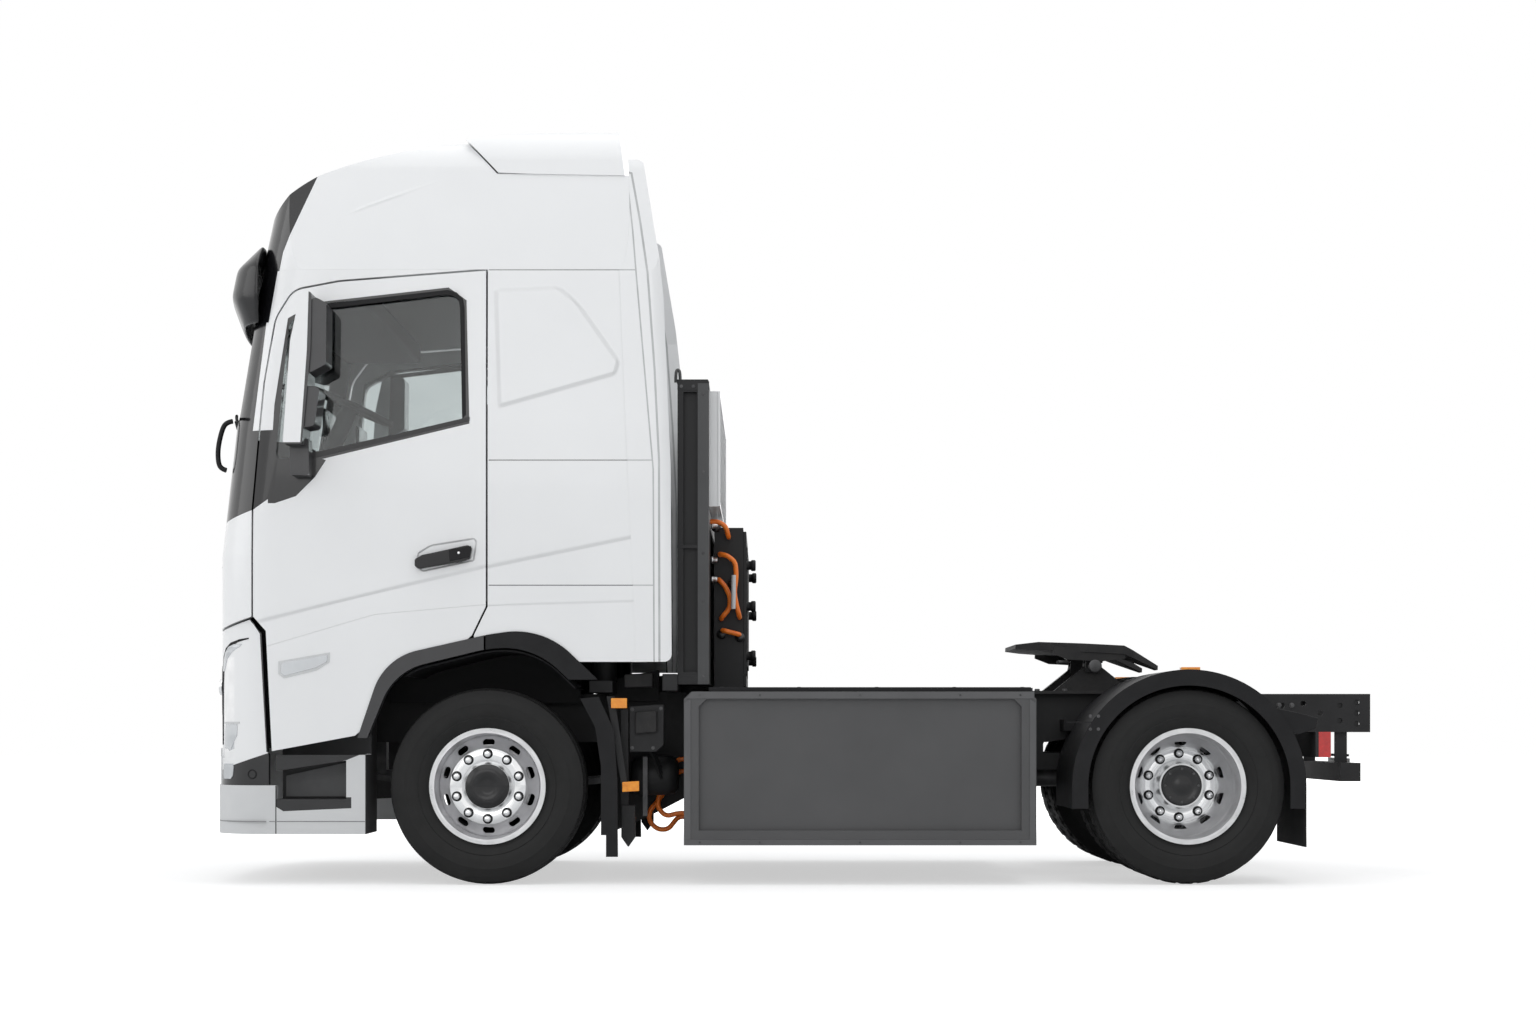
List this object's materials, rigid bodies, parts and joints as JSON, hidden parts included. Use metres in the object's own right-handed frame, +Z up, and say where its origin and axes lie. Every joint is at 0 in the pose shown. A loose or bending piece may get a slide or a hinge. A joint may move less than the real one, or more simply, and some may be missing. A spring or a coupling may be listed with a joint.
{
  "type": "semi truck tractor unit",
  "caption": "Cab-over electric tractor unit: tilting cab with doors, steered front axle, twin rear wheels, battery boxes and fifth wheel for a semi-trailer.",
  "frame": {"origin": "on the ground under the middle of the bounding box", "axes": "+X to the rear, -Y the vehicle's left side, +Z up"},
  "size_m": [6.235, 2.904, 3.925],
  "materials": {
    "white_paint": "gloss",
    "grey_plastic": "satin",
    "black_plastic": "matte",
    "frame_paint": "satin",
    "cast_parts": "matte",
    "tyre": "matte",
    "alloy": "polished",
    "glass": "clear",
    "lens": "gloss",
    "red_lens": "gloss",
    "orange_cable": "satin",
    "box_paint": "satin",
    "deck_metal": "satin",
    "interior": "matte",
    "seat_cloth": "woven",
    "spring_rubber": "matte",
    "steel": "satin"
  },
  "bodies": {
    "chassis": {"frame_rails": "frame_paint", "crossmembers": "frame_paint", "cab_mounts": "frame_paint", "front_axle_beam": "cast_parts", "front_springs": "steel", "rear_axle": "cast_parts", "rear_arms": "frame_paint", "air_springs": "spring_rubber", "drive_motor": "cast_parts", "propeller_shaft": "steel", "battery_boxes": "box_paint", "deck_plate": "deck_metal", "equipment_tower": "box_paint", "power_unit": "box_paint", "cooler": "white_paint", "fifth_wheel_base": "cast_parts", "rear_fenders": "black_plastic", "front_mudguards": "black_plastic", "rear_underrun": "frame_paint", "tail_lamps": "red_lens", "hv_cables": "orange_cable", "headlamp_panels": "white_paint", "headlamps": "lens", "front_bumper": "grey_plastic", "step_units": "grey_plastic", "front_carriers": "frame_paint"},
    "cab": {"cab_roof": "white_paint", "cab_sides": "white_paint", "cab_back_wall": "white_paint", "cab_front": "white_paint", "windscreen": "glass", "cab_floor": "frame_paint", "roof_deflector": "white_paint", "side_fairings": "white_paint", "sun_visor": "black_plastic", "arch_trims": "black_plastic", "wheel_liners": "black_plastic", "dashboard": "interior", "seats_and_bunk": "seat_cloth", "tilt_arms": "cast_parts"},
    "door_left": {"door_left": "white_paint", "door_glass_left": "glass", "door_fittings_left": "black_plastic"},
    "door_right": {"door_right": "white_paint", "door_glass_right": "glass", "door_fittings_right": "black_plastic"},
    "steering_wheel": {"steering_wheel": "interior"},
    "knuckle_left": {"knuckle_left": "cast_parts"},
    "knuckle_right": {"knuckle_right": "cast_parts"},
    "tie_rod": {"tie_rod": "steel"},
    "wheel_front_left": {"wheel_front_left": "alloy", "tyre_front_left": "tyre"},
    "wheel_front_right": {"wheel_front_right": "alloy", "tyre_front_right": "tyre"},
    "wheel_rear_left": {"wheels_rear_left": "alloy", "tyres_rear_left": "tyre"},
    "wheel_rear_right": {"wheels_rear_right": "alloy", "tyres_rear_right": "tyre"},
    "fifth_wheel_plate": {"fifth_wheel_plate": "cast_parts"}
  },
  "joints": [
    {"name": "cab_tilt", "type": "hinge", "parent": "chassis", "child": "cab", "pos_m": [-2.9645, 0, 0.75], "axis": [0, -1, 0], "range_deg": [0, 60]},
    {"name": "door_left_open", "type": "hinge", "parent": "cab", "child": "door_left", "pos_m": [-2.7625, -1.236, 1.9], "axis": [0, 0, -1], "range_deg": [0, 80]},
    {"name": "door_right_open", "type": "hinge", "parent": "cab", "child": "door_right", "pos_m": [-2.7625, 1.236, 1.9], "axis": [0, 0, 1], "range_deg": [0, 80]},
    {"name": "steer_left", "type": "hinge", "parent": "chassis", "child": "knuckle_left", "pos_m": [-1.6025, -0.9225, 0.506], "axis": [0, 0, 1], "range_deg": [-42, 42]},
    {"name": "steer_right", "type": "hinge", "parent": "chassis", "child": "knuckle_right", "pos_m": [-1.6025, 0.9225, 0.506], "axis": [0, 0, 1], "range_deg": [-42, 42]},
    {"name": "tie_rod_pivot", "type": "hinge", "parent": "knuckle_left", "child": "tie_rod", "pos_m": [-1.4125, -0.9225, 0.39], "axis": [0, 0, 1], "range_deg": [-42, 42]},
    {"name": "steering_wheel_turn", "type": "hinge", "parent": "cab", "child": "steering_wheel", "pos_m": [-2.40248, -0.62, 2.51498], "axis": [0.4067, 0, 0.9135], "range_deg": [-756, 756]},
    {"name": "roll_front_left", "type": "hinge", "parent": "knuckle_left", "child": "wheel_front_left", "pos_m": [-1.6025, -1.0425, 0.506], "axis": [0, -1, 0], "continuous": true},
    {"name": "roll_front_right", "type": "hinge", "parent": "knuckle_right", "child": "wheel_front_right", "pos_m": [-1.6025, 1.0425, 0.506], "axis": [0, -1, 0], "continuous": true},
    {"name": "roll_rear_left", "type": "hinge", "parent": "chassis", "child": "wheel_rear_left", "pos_m": [1.9975, -0.8675, 0.506], "axis": [0, -1, 0], "continuous": true},
    {"name": "roll_rear_right", "type": "hinge", "parent": "chassis", "child": "wheel_rear_right", "pos_m": [1.9975, 0.8675, 0.506], "axis": [0, -1, 0], "continuous": true},
    {"name": "fifth_wheel_rock", "type": "hinge", "parent": "chassis", "child": "fifth_wheel_plate", "pos_m": [1.6155, 0, 1.142], "axis": [0, -1, 0], "range_deg": [-9, 15]}
  ],
  "couplings": [
    {"joint": "steer_right", "follows": "steer_left", "ratio": 1},
    {"joint": "tie_rod_pivot", "follows": "steer_left", "ratio": -1},
    {"joint": "steering_wheel_turn", "follows": "steer_left", "ratio": 18}
  ]
}
